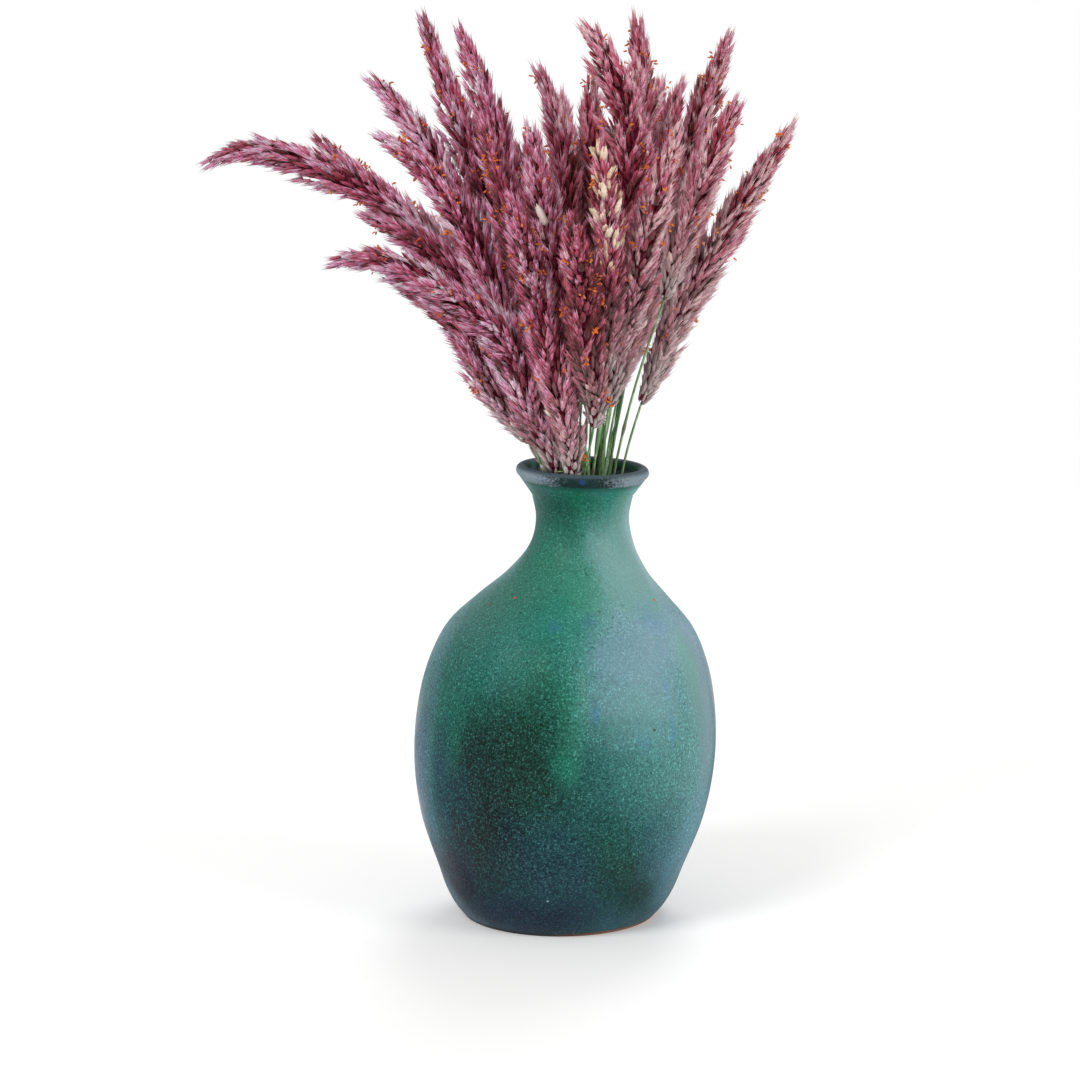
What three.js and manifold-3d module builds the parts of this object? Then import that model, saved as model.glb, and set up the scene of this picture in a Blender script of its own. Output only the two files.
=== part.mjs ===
import * as THREE from 'three';
import { mergeVertices } from 'three/addons/utils/BufferGeometryUtils.js';
import Module from 'manifold-3d';

// Dried savannah grass in a hand-thrown vase. Millimetres, +Z up.
// The origin is the middle of the vase's flat foot, on the surface that it stands on.

// The vase's outer wall, from foot to neck: radius and height.
const WALL_OUTLINE = [
  [47.3, 1.5], [54.2, 9], [59.9, 25], [67.9, 49], [72.1, 78], [71.3, 100], [66.6, 123],
  [58.9, 140], [46, 154], [33, 167], [24.3, 181], [22.1, 194], [24, 204],
];
const FOOT_RADIUS = 45.3;
const WALL_THICKNESS = 4.2;
const FLOOR_HEIGHT = 8;
const FLOOR_RADIUS = 42;
const LIP_RADIUS = 28.8;
const LIP_HEIGHT = 215;
const LIP_ROLL = 2.7;
const VASE_SIDES = 36;
const OUTLINE_STEPS = 15;

// The thrown axis drifts to the right, mostly at the shoulder, and the lip dips on that side.
const BELLY_DRIFT = 4.7;
const BELLY_DRIFT_HEIGHT = 150;
const SHOULDER_DRIFT = 6.1;
const SHOULDER_FROM = 142;
const SHOULDER_TO = 186;
const LIP_TILT = THREE.MathUtils.degToRad(1.7);
const LIP_TILT_FROM = 195;

// The neck, where all the stalks pass, and how they spread out below it to stand on the floor.
const NECK_HEIGHT = 195;
const NECK_REACH = 15.2;
const NECK_CORE = 2.5;
const WIDE_TIP_REACH = 100;
const MOUTH_REACH = 22.5;
const MOUTH_HEIGHT = 214;
const CLEAR_REACH = 60;
const CLEAR_HEIGHT = 240;
const FOOT_SPREAD = 2.35;
const BELOW_NECK_SHARES = [0, 0.3, 0.6, 0.85];
const FOOT_TWIST = THREE.MathUtils.degToRad(120);
const STAND_GAP = 0.6;

// A stalk, and the flat leaf sheath that some of them keep below the head.
const CULM_RADIUS = 0.75;
const CULM_SIDES = 5;
const CULM_STEPS = 10;
const SHEATH_HALF_WIDTH = 2.1;
const SHEATH_HALF_DEPTH = 1.25;
const SHEATH_LENGTH = 38;
const SHEATH_BELOW_HEAD = 5;
const SHEATH_STEPS = 5;
const SHEATH_SIDES = 6;

// A head: rings of spikelets that stand out of a slimmer core and lean towards the tip.
const SPIKELETS_AROUND = 5;
const RING_PITCH = 7.6;
const CORE_SHARE = 0.5;
const SPIKELET_LEAN = 1.7;
const SPIKELET_SHORTEST = 0.74;
const BASE_SHARE = 0.2;
const HEAD_SKEW = 0.85;
const HEAD_FULLNESS = 0.45;
const SOCKET_RADIUS = 1.8;
const SOCKET_DEPTH = 6;
const SOCKET_WALL = 0.8;
const CULM_IN_SOCKET = 4.5;
const HEAD_TIP_RADIUS = 0.9;

// How the sprays press each other apart: more to the front and back than to the sides.
const ARCH_STEPS = 20;
const HANG_SHARPNESS = 5;
const PRESS_ROUNDS = 260;
const PULL_BACK_ROUNDS = 156;
const PULL_BACK = 0.015;
const PRESS_GAP = 0.7;
const PRESS_SHARE = 0.3;
const PRESS_WEIGHT = new THREE.Vector3(0.55, 1, 0.55);
const PRESS_LIMIT = 2;
const BEND_PASSES = 4;

// Every spray: the tip of its head, the length and widest radius of the head, and how far the spray
// arches up from a straight line, at its lower third and its upper third (bow, droop), and
// sideways (sway, nod). A heavy tip hangs below the arch. Some have a sheath or another colour.
const SPRAYS = [
  { tip: [-167, 10, 358], head: 156, girth: 8.2, bow: 49, droop: 2, sway: -5, hang: 72 },
  { tip: [-119, 62, 368], head: 145, girth: 7, bow: 30, droop: 5, sway: -16, nod: -9, hang: 8 },
  { tip: [-93, 4, 337], head: 118, girth: 8.2, bow: 27, droop: 20, sway: -3, hang: 13 },
  { tip: [-106, -37, 317], head: 144, girth: 8.8, bow: 30, droop: 16, sway: 4, nod: -4, hang: 32 },
  { tip: [-67, -72, 313], head: 132, girth: 8.6, bow: 24, droop: 18, sway: 10, nod: 6, hang: 8 },
  { tip: [-80, -22, 311], head: 130, girth: 8.2, bow: 26, droop: 14, hang: 8 },
  { tip: [-90, 12, 400], head: 162, girth: 8.2, bow: 11, droop: 17, sway: -2, hang: 12 },
  { tip: [-85, -45, 377], head: 158, girth: 8.2, bow: 4, droop: 28, sway: 4, nod: 0, hang: 13, sheath: true },
  { tip: [-66, 34, 428], head: 186, girth: 8.2, bow: 10, droop: 3, sway: -10, nod: -3 },
  { tip: [-36, -50, 386], head: 160, girth: 7.6, bow: 4, sway: 5 },
  { tip: [-47, -10, 425], head: 166, girth: 8.2, bow: 6, droop: 10 },
  { tip: [-23, -87, 355], head: 150, girth: 8.2, bow: 11 },
  { tip: [-14, -60, 384], head: 144, girth: 8, bow: -4, droop: 11, sheath: true },
  { tip: [-12, 45, 404], head: 164, girth: 8, bow: 2, droop: 3, sway: -7, nod: -21 },
  { tip: [1, 77, 389], head: 150, girth: 8, bow: 9 },
  { tip: [15, 60, 397], head: 133, girth: 8, bow: 7 },
  { tip: [9, -42, 427], head: 150, girth: 11.4, bow: 0, droop: 20, sway: -15, nod: 44 },
  { tip: [35, 5, 430], head: 156, girth: 8.8, bow: 1, droop: -12, sway: 0, nod: -6 },
  { tip: [48, 67, 396], head: 138, girth: 7.8, bow: 0, droop: -2, sway: 1, nod: -5, sheath: true },
  { tip: [56, -5, 400], head: 140, girth: 7.8, bow: -2, droop: 4 },
  { tip: [81, 35, 420], head: 156, girth: 8.6, bow: 15, droop: 4, sway: -5, nod: 4, sheath: true },
  { tip: [82, -30, 393], head: 102, girth: 6.6, bow: 10, droop: 7, sway: 6, nod: 2 },
  { tip: [110, 0, 380], head: 152, girth: 7, bow: 15, droop: 8 },
  { tip: [54, -70, 384], head: 150, girth: 8.4, bow: 16, droop: 2, sway: 2, nod: -4, sheath: true },
  { tip: [18, -82, 379], head: 124, girth: 7.6, bow: 4, sway: 7, cream: true, sheath: true },
  { tip: [5, -95, 345], head: 124, girth: 8, bow: 10, sway: 4 },
  { tip: [-23, 95, 364], head: 154, girth: 8.4, bow: 13 },
  { tip: [26, 106, 369], head: 132, girth: 8.2, bow: 10 },
  { tip: [64, 90, 352], head: 124, girth: 8, bow: 11, droop: 16 },
];

const glaze = { color: 0x4f7f7b, roughness: 0.55, metalness: 0 };
const mauve = { color: 0x9b5672, roughness: 0.9, metalness: 0 };
const cream = { color: 0xd9c3b4, roughness: 0.9, metalness: 0 };
const green = { color: 0x7f9a62, roughness: 0.7, metalness: 0 };

const wasm = await Module();
wasm.setup();

function solidOf(geometry) {
  const bare = geometry.clone();
  bare.deleteAttribute('normal');
  bare.deleteAttribute('uv');
  const merged = mergeVertices(bare, 1e-4);
  const mesh = new wasm.Mesh({
    numProp: 3,
    vertProperties: new Float32Array(merged.attributes.position.array),
    triVerts: new Uint32Array(merged.index.array),
  });
  return new wasm.Manifold(mesh);
}

function fuse(first, second) {
  const joined = solidOf(first).add(solidOf(second)).getMesh();
  const geometry = new THREE.BufferGeometry();
  geometry.setAttribute('position', new THREE.BufferAttribute(joined.vertProperties, 3));
  geometry.setIndex(new THREE.BufferAttribute(joined.triVerts, 1));
  return geometry;
}

function named(name, geometry, look) {
  const mesh = new THREE.Mesh(geometry, new THREE.MeshStandardMaterial(look));
  mesh.name = name;
  return mesh;
}

// Where the middle of the vase's wall is at a height.
function drift(height) {
  const belly = BELLY_DRIFT * Math.min(height, BELLY_DRIFT_HEIGHT) / BELLY_DRIFT_HEIGHT;
  return belly + SHOULDER_DRIFT * THREE.MathUtils.smoothstep(height, SHOULDER_FROM, SHOULDER_TO);
}

function vaseProfile() {
  const wall = new THREE.SplineCurve(WALL_OUTLINE.map(([r, z]) => new THREE.Vector2(r, z)));
  const outside = [];
  const inside = [];
  for (let k = 0; k <= OUTLINE_STEPS; k += 1) {
    const t = k / OUTLINE_STEPS;
    const point = wall.getPointAt(t);
    const along = wall.getTangentAt(t);
    const inward = new THREE.Vector2(-along.y, along.x);
    outside.push(point);
    const inner = point.clone().addScaledVector(inward, WALL_THICKNESS);
    if (inner.y > FLOOR_HEIGHT + WALL_THICKNESS) inside.unshift(inner);
  }
  const lip = [];
  for (let angle = -45; angle <= 225; angle += 45) {
    const turn = THREE.MathUtils.degToRad(angle);
    const r = LIP_RADIUS + LIP_ROLL * Math.cos(turn);
    lip.push(new THREE.Vector2(r, LIP_HEIGHT + LIP_ROLL * Math.sin(turn)));
  }
  return [
    new THREE.Vector2(0, 0),
    new THREE.Vector2(FOOT_RADIUS, 0),
    ...outside,
    ...lip,
    ...inside,
    new THREE.Vector2(FLOOR_RADIUS, FLOOR_HEIGHT),
    new THREE.Vector2(0, FLOOR_HEIGHT),
  ];
}

function vase() {
  const geometry = new THREE.LatheGeometry(vaseProfile(), VASE_SIDES);
  geometry.rotateX(Math.PI / 2);
  const place = geometry.attributes.position;
  for (let k = 0; k < place.count; k += 1) {
    const x = place.getX(k);
    const z = place.getZ(k);
    const tilt = THREE.MathUtils.smoothstep(z, LIP_TILT_FROM, LIP_HEIGHT);
    place.setX(k, x + drift(z));
    place.setZ(k, z - x * Math.tan(LIP_TILT) * tilt);
  }
  return named('vase', geometry, glaze);
}

// A head's outer radius at a share of its length, 0 at its base and 1 at its tip.
function headRadius(spray, share) {
  const swell = Math.pow(Math.max(0, Math.sin(Math.PI * Math.pow(share, HEAD_SKEW))), HEAD_FULLNESS);
  return spray.girth * (BASE_SHARE + (1 - BASE_SHARE) * swell);
}

// Where a spray passes the neck: nearer its wall the further out its tip is.
function neckPoint(tip) {
  const neck = new THREE.Vector3(drift(NECK_HEIGHT), 0, NECK_HEIGHT);
  const away = tip.clone().sub(neck).setZ(0);
  const share = Math.min(1, away.length() / WIDE_TIP_REACH);
  return neck.addScaledVector(away.normalize(), THREE.MathUtils.lerp(NECK_CORE, NECK_REACH, share));
}

// The arch of a spray from the neck to its tip, as points that its neighbours can press aside.
function archOf(spray) {
  const { bow, droop = bow, sway = 0, nod = sway, hang = 0 } = spray;
  const tip = new THREE.Vector3(...spray.tip);
  tip.z += hang;
  const start = neckPoint(tip);
  const chord = tip.clone().sub(start).normalize();
  const up = new THREE.Vector3(0, 0, 1).addScaledVector(chord, -chord.z).normalize();
  const aside = new THREE.Vector3().crossVectors(up, chord);
  const bend = (share, rise, side) => start.clone().lerp(tip, share)
    .addScaledVector(up, rise * 4 / 3)
    .addScaledVector(aside, side * 4 / 3);
  const arch = new THREE.CubicBezierCurve3(start, bend(1 / 3, bow, sway), bend(2 / 3, droop, nod), tip);
  const points = arch.getSpacedPoints(ARCH_STEPS);
  points.forEach((point, k) => {
    point.z -= hang * Math.pow(k / ARCH_STEPS, HANG_SHARPNESS);
  });
  const step = points[0].distanceTo(points[1]);
  const radii = points.map((point, k) => {
    const toTip = (ARCH_STEPS - k) * step;
    if (toTip <= spray.head) return headRadius(spray, 1 - toTip / spray.head);
    const sheathed = spray.sheath && toTip < spray.head + SHEATH_BELOW_HEAD + SHEATH_LENGTH + step;
    return sheathed ? SHEATH_HALF_WIDTH : CULM_RADIUS;
  });
  return { points, radii, home: points.map((point) => point.clone()) };
}

// The closest points of two straight stretches, as shares of each and the way between them.
function nearest(a, b, c, d) {
  const u = b.clone().sub(a);
  const v = d.clone().sub(c);
  const w = a.clone().sub(c);
  const uu = u.dot(u);
  const uv = u.dot(v);
  const vv = v.dot(v);
  const uw = u.dot(w);
  const vw = v.dot(w);
  const den = uu * vv - uv * uv;
  const limit = (value) => THREE.MathUtils.clamp(value, 0, 1);
  let s = den > 1e-6 ? limit((uv * vw - vv * uw) / den) : 0.5;
  const t = limit((uv * s + vw) / vv);
  s = limit((uv * t - uw) / uu);
  const between = w.addScaledVector(u, s).addScaledVector(v, -t);
  return { s, t, between };
}

// Two sprays that come too close push each other aside.
function pressPair(one, two) {
  for (let i = 0; i < ARCH_STEPS; i += 1) {
    for (let j = 0; j < ARCH_STEPS; j += 1) {
      const thick = Math.max(one.radii[i], one.radii[i + 1]) + Math.max(two.radii[j], two.radii[j + 1]);
      const [a, b, c, d] = [one.points[i], one.points[i + 1], two.points[j], two.points[j + 1]];
      const outOfReach = thick + PRESS_GAP + a.distanceTo(b) + c.distanceTo(d);
      if (a.distanceTo(c) > outOfReach) continue;
      const { s, t, between } = nearest(a, b, c, d);
      const short = thick + PRESS_GAP - between.length();
      if (short <= 0) continue;
      between.multiply(PRESS_WEIGHT).setLength(short * PRESS_SHARE);
      one.push[i].addScaledVector(between, 1 - s);
      one.push[i + 1].addScaledVector(between, s);
      two.push[j].addScaledVector(between, t - 1);
      two.push[j + 1].addScaledVector(between, -t);
    }
  }
}

// Spreads what was pushed along the stalk, so that it bends and doesn't kink.
function softened(push) {
  let smooth = push;
  for (let pass = 0; pass < BEND_PASSES; pass += 1) {
    smooth = smooth.map((vector, k) => {
      const before = smooth[Math.max(0, k - 1)];
      const after = smooth[Math.min(push.length - 1, k + 1)];
      return vector.clone().multiplyScalar(2).add(before).add(after).multiplyScalar(0.25);
    });
  }
  return smooth;
}

// Keeps a stalk inside the neck and the mouth, and its head off the lip.
function keepInMouth(point, radius) {
  if (point.z > CLEAR_HEIGHT) return;
  const inMouth = [point.z, NECK_HEIGHT, MOUTH_HEIGHT, NECK_REACH, MOUTH_REACH];
  const overLip = [point.z, MOUTH_HEIGHT, CLEAR_HEIGHT, MOUTH_REACH, CLEAR_REACH];
  const open = THREE.MathUtils.mapLinear(...(point.z < MOUTH_HEIGHT ? inMouth : overLip));
  const reach = Math.max(NECK_REACH, open) - (radius - CULM_RADIUS);
  const side = new THREE.Vector3(point.x - drift(point.z), point.y, 0);
  if (side.length() < reach) return;
  side.setLength(reach);
  point.set(side.x + drift(point.z), side.y, point.z);
}

function pressApart(arches) {
  for (let round = 0; round < PRESS_ROUNDS; round += 1) {
    arches.forEach((arch) => {
      arch.push = arch.points.map(() => new THREE.Vector3());
    });
    arches.forEach((one, i) => arches.slice(i + 1).forEach((two) => pressPair(one, two)));
    arches.forEach((arch) => {
      softened(arch.push).forEach((push, k) => {
        const point = arch.points[k];
        push.clampLength(0, PRESS_LIMIT);
        if (k === 0) push.setZ(0);
        point.add(push);
        if (round < PULL_BACK_ROUNDS) point.lerp(arch.home[k], PULL_BACK);
        keepInMouth(point, arch.radii[k]);
      });
    });
  }
}

// A whole spray: down from the neck the stalks swing round each other, so that none of them meet.
function centrelineOf(arch) {
  const start = arch.points[0];
  const neck = new THREE.Vector3(drift(NECK_HEIGHT), 0, NECK_HEIGHT);
  const foot = start.clone().sub(neck).multiplyScalar(FOOT_SPREAD);
  foot.applyAxisAngle(new THREE.Vector3(0, 0, 1), FOOT_TWIST);
  foot.setZ(FLOOR_HEIGHT + STAND_GAP);
  const below = BELOW_NECK_SHARES.map((share) => foot.clone().lerp(start, share));
  return new THREE.CatmullRomCurve3([...below, ...arch.points], false, 'centripetal');
}

// The part of a curve between two lengths along it.
class Stretch extends THREE.Curve {
  constructor(whole, from, to) {
    super();
    this.whole = whole;
    this.from = from;
    this.to = to;
  }

  getPoint(t) {
    const total = this.whole.getLength();
    const u = THREE.MathUtils.lerp(this.from, this.to, t) / total;
    return this.whole.getPointAt(THREE.MathUtils.clamp(u, 0, 1));
  }
}

function oval(halfWidth, halfDepth, sides) {
  const corners = [];
  for (let k = 0; k < sides; k += 1) {
    const turn = 2 * Math.PI * k / sides;
    corners.push(new THREE.Vector2(halfWidth * Math.cos(turn), halfDepth * Math.sin(turn)));
  }
  return new THREE.Shape(corners);
}

function rod(shape, path, steps) {
  return new THREE.ExtrudeGeometry(shape, { extrudePath: path, steps, bevelEnabled: false });
}

function culm(name, spray, curve) {
  const length = curve.getLength();
  const top = length - spray.head + CULM_IN_SOCKET;
  const section = oval(CULM_RADIUS, CULM_RADIUS, CULM_SIDES);
  const stalk = rod(section, new Stretch(curve, 0, top), CULM_STEPS);
  if (!spray.sheath) return named(name, stalk, green);
  const wide = oval(SHEATH_HALF_WIDTH, SHEATH_HALF_DEPTH, SHEATH_SIDES);
  const sheathTop = length - spray.head - SHEATH_BELOW_HEAD;
  const sheath = rod(wide, new Stretch(curve, sheathTop - SHEATH_LENGTH, sheathTop), SHEATH_STEPS);
  return named(name, fuse(stalk, sheath), green);
}

// Seeded draws, the same on every run: a multiplicative congruential generator.
const DRAW_MODULUS = 2147483647;
const DRAW_MULTIPLIER = 16807;
const DRAW_STRIDE = 7919;

function drawer(seed) {
  let state = seed * DRAW_STRIDE;
  return () => {
    state = (state * DRAW_MULTIPLIER) % DRAW_MODULUS;
    return state / DRAW_MODULUS;
  };
}

// A head is one closed skin. Its rings of corners are turned half a step from one to the next,
// and each lozenge between them is raised to a point, which is a spikelet.
function headGeometry(spray, curve, draw) {
  const length = curve.getLength();
  const rings = Math.round(spray.head / RING_PITCH);
  const stretch = new Stretch(curve, length - spray.head, length);
  const frames = stretch.computeFrenetFrames(rings, false);
  const corners = [];
  const triangles = [];

  // A corner at a ring of the head: its distance from the stalk, its turn round it and how far ahead.
  const corner = (ring, radius, turn, ahead = 0) => {
    const k = THREE.MathUtils.clamp(Math.round(ring), 0, rings);
    const middle = stretch.getPointAt(THREE.MathUtils.clamp(ring / rings, 0, 1));
    middle.addScaledVector(frames.normals[k], radius * Math.cos(turn));
    middle.addScaledVector(frames.binormals[k], radius * Math.sin(turn));
    middle.addScaledVector(frames.tangents[k], ahead);
    return corners.push(middle.x, middle.y, middle.z) / 3 - 1;
  };
  const turnOf = (ring, k) => 2 * Math.PI * (k + (ring % 2) / 2) / SPIKELETS_AROUND;
  const coreAt = (ring) => Math.max(
    headRadius(spray, ring / rings) * CORE_SHARE,
    ring === 0 ? SOCKET_RADIUS + SOCKET_WALL : HEAD_TIP_RADIUS,
  );
  const around = [...Array(SPIKELETS_AROUND).keys()];
  const skin = [];
  for (let ring = 0; ring < rings; ring += 1) {
    skin.push(around.map((k) => corner(ring, coreAt(ring), turnOf(ring, k))));
  }
  const next = (k) => (k + 1) % SPIKELETS_AROUND;

  // The spikelets. Their points lean ahead in step with their height, so that none cross.
  for (let ring = 0; ring + 2 < rings; ring += 1) {
    around.forEach((k) => {
      const low = skin[ring][k];
      const shifted = ring % 2 === 0;
      const left = skin[ring + 1][shifted ? (k + SPIKELETS_AROUND - 1) % SPIKELETS_AROUND : k];
      const right = skin[ring + 1][shifted ? k : next(k)];
      const high = skin[ring + 2][k];
      const full = headRadius(spray, (ring + 1.5) / rings);
      const tall = full * THREE.MathUtils.lerp(SPIKELET_SHORTEST, 1, draw());
      const ahead = SPIKELET_LEAN * (tall - coreAt(ring + 1));
      const point = corner(ring + 1, tall, turnOf(ring, k), ahead);
      triangles.push(low, right, point, right, high, point, high, left, point, left, low, point);
    });
  }

  // The skin at both ends, where no lozenge fits.
  around.forEach((k) => {
    triangles.push(skin[0][k], skin[0][next(k)], skin[1][k]);
    const last = rings - 1;
    const below = skin[last - 1][last % 2 === 0 ? k : next(k)];
    triangles.push(skin[last][k], below, skin[last][next(k)]);
  });
  const tip = corner(rings, 0, 0);
  around.forEach((k) => triangles.push(skin[rings - 1][k], skin[rings - 1][next(k)], tip));

  // The socket at the base, which takes the end of the stalk.
  const mouth = around.map((k) => corner(0, SOCKET_RADIUS, turnOf(0, k)));
  const depth = around.map((k) => corner(SOCKET_DEPTH / RING_PITCH, SOCKET_RADIUS, turnOf(0, k)));
  around.forEach((k) => {
    triangles.push(skin[0][next(k)], skin[0][k], mouth[k], skin[0][next(k)], mouth[k], mouth[next(k)]);
    triangles.push(mouth[next(k)], mouth[k], depth[k], mouth[next(k)], depth[k], depth[next(k)]);
    if (k > 1) triangles.push(depth[0], depth[k], depth[k - 1]);
  });
  const geometry = new THREE.BufferGeometry();
  geometry.setAttribute('position', new THREE.Float32BufferAttribute(corners, 3));
  geometry.setIndex(triangles);
  return geometry;
}

const object = new THREE.Group();
object.add(vase());

const arches = SPRAYS.map(archOf);
pressApart(arches);
SPRAYS.forEach((spray, index) => {
  const number = String(index + 1).padStart(2, '0');
  const curve = centrelineOf(arches[index]);
  object.add(culm(`culm_${number}`, spray, curve));
  const head = headGeometry(spray, curve, drawer(index + 1));
  object.add(named(`plume_${number}`, head, spray.cream ? cream : mauve));
});

export default object;
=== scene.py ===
import math

import bmesh
import bpy
import numpy as np
from mathutils import Matrix, Vector


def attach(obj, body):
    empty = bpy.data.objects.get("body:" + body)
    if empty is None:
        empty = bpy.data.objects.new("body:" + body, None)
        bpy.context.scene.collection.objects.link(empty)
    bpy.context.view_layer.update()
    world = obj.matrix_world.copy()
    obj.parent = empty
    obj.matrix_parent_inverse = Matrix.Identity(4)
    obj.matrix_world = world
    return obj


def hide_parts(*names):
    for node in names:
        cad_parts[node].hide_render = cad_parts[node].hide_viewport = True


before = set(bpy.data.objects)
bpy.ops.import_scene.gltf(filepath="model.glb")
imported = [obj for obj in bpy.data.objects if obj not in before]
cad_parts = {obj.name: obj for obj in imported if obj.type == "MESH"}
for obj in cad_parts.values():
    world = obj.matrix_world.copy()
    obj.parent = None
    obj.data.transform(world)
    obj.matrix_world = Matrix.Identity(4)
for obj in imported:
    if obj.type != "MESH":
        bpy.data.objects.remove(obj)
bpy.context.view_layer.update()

# The table and the light. The vase stands on a smooth white table in a white room. One wide soft
# lamp is high on the left, and a second one on the right. The pale haze on the glaze's right is partly
# a painted reflection of that lamp. A third one behind lights the edges of the heads. The camera looks
# down at it a little, from far off.
TABLE_REACH = 1.3
# Each lamp's name, place, width and power.
LAMPS = (
    ("left_lamp", (-1.5, -1.7, 2.0), 1.3, 38),
    ("right_lamp", (1.9, -1.2, 1.1), 1.2, 20),
    ("back_lamp", (0.5, 2.0, 2.2), 1.6, 26),
)
LAMPS_AIM = Vector((0, 0, 0.22))
# The camera's lens in millimetres, its place, and its turns in degrees.
CAMERA_LENS = 126.4
CAMERA_SPOT = (0, -1.771, 0.5036)
CAMERA_PITCH = 79.7
CAMERA_YAW = 0.302
# How strongly the white room lights things, and how bright it looks itself.
ROOM_GLOW = 0.5
ROOM_SEEN = 1


def dye(written):
    """A colour written as six hexadecimal digits, as the shaders want it."""
    parts = [int(written[k:k + 2], 16) / 255 for k in (0, 2, 4)]
    return [c / 12.92 if c < 0.04045 else ((c + 0.055) / 1.055) ** 2.4 for c in parts] + [1]


class Finish:
    """A finish being mixed. Each call adds one node, and hands back what it gives."""

    def __init__(self, name, **fixed):
        self.material = bpy.data.materials.new(name)
        self.material.use_nodes = True
        self.tree = self.material.node_tree
        self.surface = self.tree.nodes["Principled BSDF"]
        self.set(self.surface, {name.replace("_", " "): value for name, value in fixed.items()})

    def set(self, node, values):
        for socket, value in values.items():
            if isinstance(value, bpy.types.NodeSocket):
                self.tree.links.new(value, node.inputs[socket])
            else:
                node.inputs[socket].default_value = value

    def node(self, kind, values, output=0, **settings):
        made = self.tree.nodes.new("ShaderNode" + kind)
        for setting, value in settings.items():
            setattr(made, setting, value)
        self.set(made, values)
        return made.outputs[output]

    def place(self):
        return self.node("TexCoord", {}, "Object")

    def read(self, attribute):
        return self.node("Attribute", {}, "Fac", attribute_name=attribute)

    def sum(self, operation, *values):
        return self.node("Math", dict(enumerate(values)), operation=operation)

    def vector(self, operation, *values, output=0):
        return self.node("VectorMath", dict(enumerate(values)), output, operation=operation)

    def fade(self, value, start, end, low=0, high=1):
        limits = {"Value": value, 1: start, 2: end, 3: low, 4: high}
        return self.node("MapRange", limits, interpolation_type="SMOOTHSTEP")

    def noise(self, where, size, detail=2, output=0):
        return self.node("TexNoise", {"Vector": where, "Scale": 1 / size, "Detail": detail}, output)

    def mixed(self, share, one, other, blend="MIX"):
        return self.node("Mix", {0: share, 6: one, 7: other}, 2, data_type="RGBA", blend_type=blend)

    def ramp(self, value, *stops):
        made = self.tree.nodes.new("ShaderNodeValToRGB")
        stretch = made.color_ramp.elements
        while len(stretch) < len(stops):
            stretch.new(0.5)
        for element, (place, colour) in zip(stretch, stops):
            element.position = place
            element.color = colour
        self.tree.links.new(value, made.inputs[0])
        return made.outputs[0]

    def done(self, **sockets):
        self.set(self.surface, {name.replace("_", " "): value for name, value in sockets.items()})
        return self.material


def piece(name, mesh, *materials):
    """A finished piece at the origin, with its place in its mesh."""
    made = bpy.data.objects.new(name, mesh)
    bpy.context.collection.objects.link(made)
    for material in materials:
        mesh.materials.append(material)
    return made


camera = bpy.data.objects.new("camera", bpy.data.cameras.new("camera"))
camera.data.sensor_width = 36
camera.data.lens = CAMERA_LENS
camera.location = CAMERA_SPOT
camera.rotation_euler = (math.radians(CAMERA_PITCH), 0, math.radians(CAMERA_YAW))
bpy.context.collection.objects.link(camera)
bpy.context.scene.camera = camera
bpy.context.scene.view_settings.view_transform = "Standard"

room = bpy.data.worlds.new("white_room")
room.use_nodes = True
seen = room.node_tree.nodes.new("ShaderNodeLightPath")
glow = room.node_tree.nodes.new("ShaderNodeMapRange")
glow.inputs["To Min"].default_value = ROOM_GLOW
glow.inputs["To Max"].default_value = ROOM_SEEN
room.node_tree.links.new(seen.outputs["Is Camera Ray"], glow.inputs["Value"])
room.node_tree.links.new(glow.outputs[0], room.node_tree.nodes["Background"].inputs["Strength"])
room.node_tree.nodes["Background"].inputs["Color"].default_value = (1, 1, 1, 1)
bpy.context.scene.world = room

for name, spot, width, power in LAMPS:
    lamp = bpy.data.objects.new(name, bpy.data.lights.new(name, "AREA"))
    lamp.data.shape = "DISK"
    lamp.data.size = width
    lamp.data.energy = power
    lamp.location = spot
    lamp.rotation_euler = (Vector(spot) - LAMPS_AIM).to_track_quat("Z", "Y").to_euler()
    bpy.context.collection.objects.link(lamp)

white_table = Finish("white_table", Roughness=0.6)
cloud = white_table.noise(white_table.place(), 0.8)
shell = bmesh.new()
bmesh.ops.create_circle(shell, segments=96, radius=TABLE_REACH, cap_ends=True)
table_mesh = bpy.data.meshes.new("table")
shell.to_mesh(table_mesh)
shell.free()
tabletop = white_table.done(
    Base_Color=white_table.mixed(cloud, dye("f4f3f3"), dye("f7f7f6")),
    Emission_Color=dye("ffffff"), Emission_Strength=0.14,
)
piece("table", table_mesh, tabletop)


# The vase is stoneware thrown on a wheel: a full belly, a narrow neck and a rolled lip that dips on
# the right. Its satin glaze, teal with a fine speckle, has run: a bright green drip down the front,
# dark pools beside it, a blue-grey veil on the right shoulder, which is partly a painted reflection
# of the lamp on the right, and bare clay at the very foot.
MM = 0.001
# The outline of the wall from the foot to below the lip, as radius and height.
WALL_OUTLINE = (
    (47, 1.5), (50.4, 5.5), (54.2, 12), (59.2, 25), (67.8, 49), (72.1, 78), (71.3, 100), (66.6, 123),
    (58.9, 140), (46, 154), (33, 167), (24.3, 181), (22.1, 194), (24, 204),
)
WALL_TOP = WALL_OUTLINE[-1][1]
WALL_STEPS = 90
FOOT_RADIUS = 45.3
FOOT_FLAT = 42.3
FOOT_EDGE = (46.2, 0.5)
WALL_THICKNESS = 4.2
FLOOR_HEIGHT = 8
FLOOR_RADIUS = 42
LIP_RADIUS = 28.8
LIP_HEIGHT = 215
LIP_ROLL = 2.7
# The angles that the round roll of the lip has its corners at.
LIP_ARC = range(-55, 236, 18)
LIP_TILT = math.tan(math.radians(1.7))
TILT_FROM = 195
# How far the axis drifts to the right up to the belly's top, and then across the shoulder.
BELLY_DRIFT = 4.7
BELLY_TOP = 150
SHOULDER_DRIFT = 6.1
SHOULDER_START = 142
SHOULDER_END = 186
LIP_ASIDE = (BELLY_DRIFT + SHOULDER_DRIFT) * MM
VASE_SIDES = 128


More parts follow.
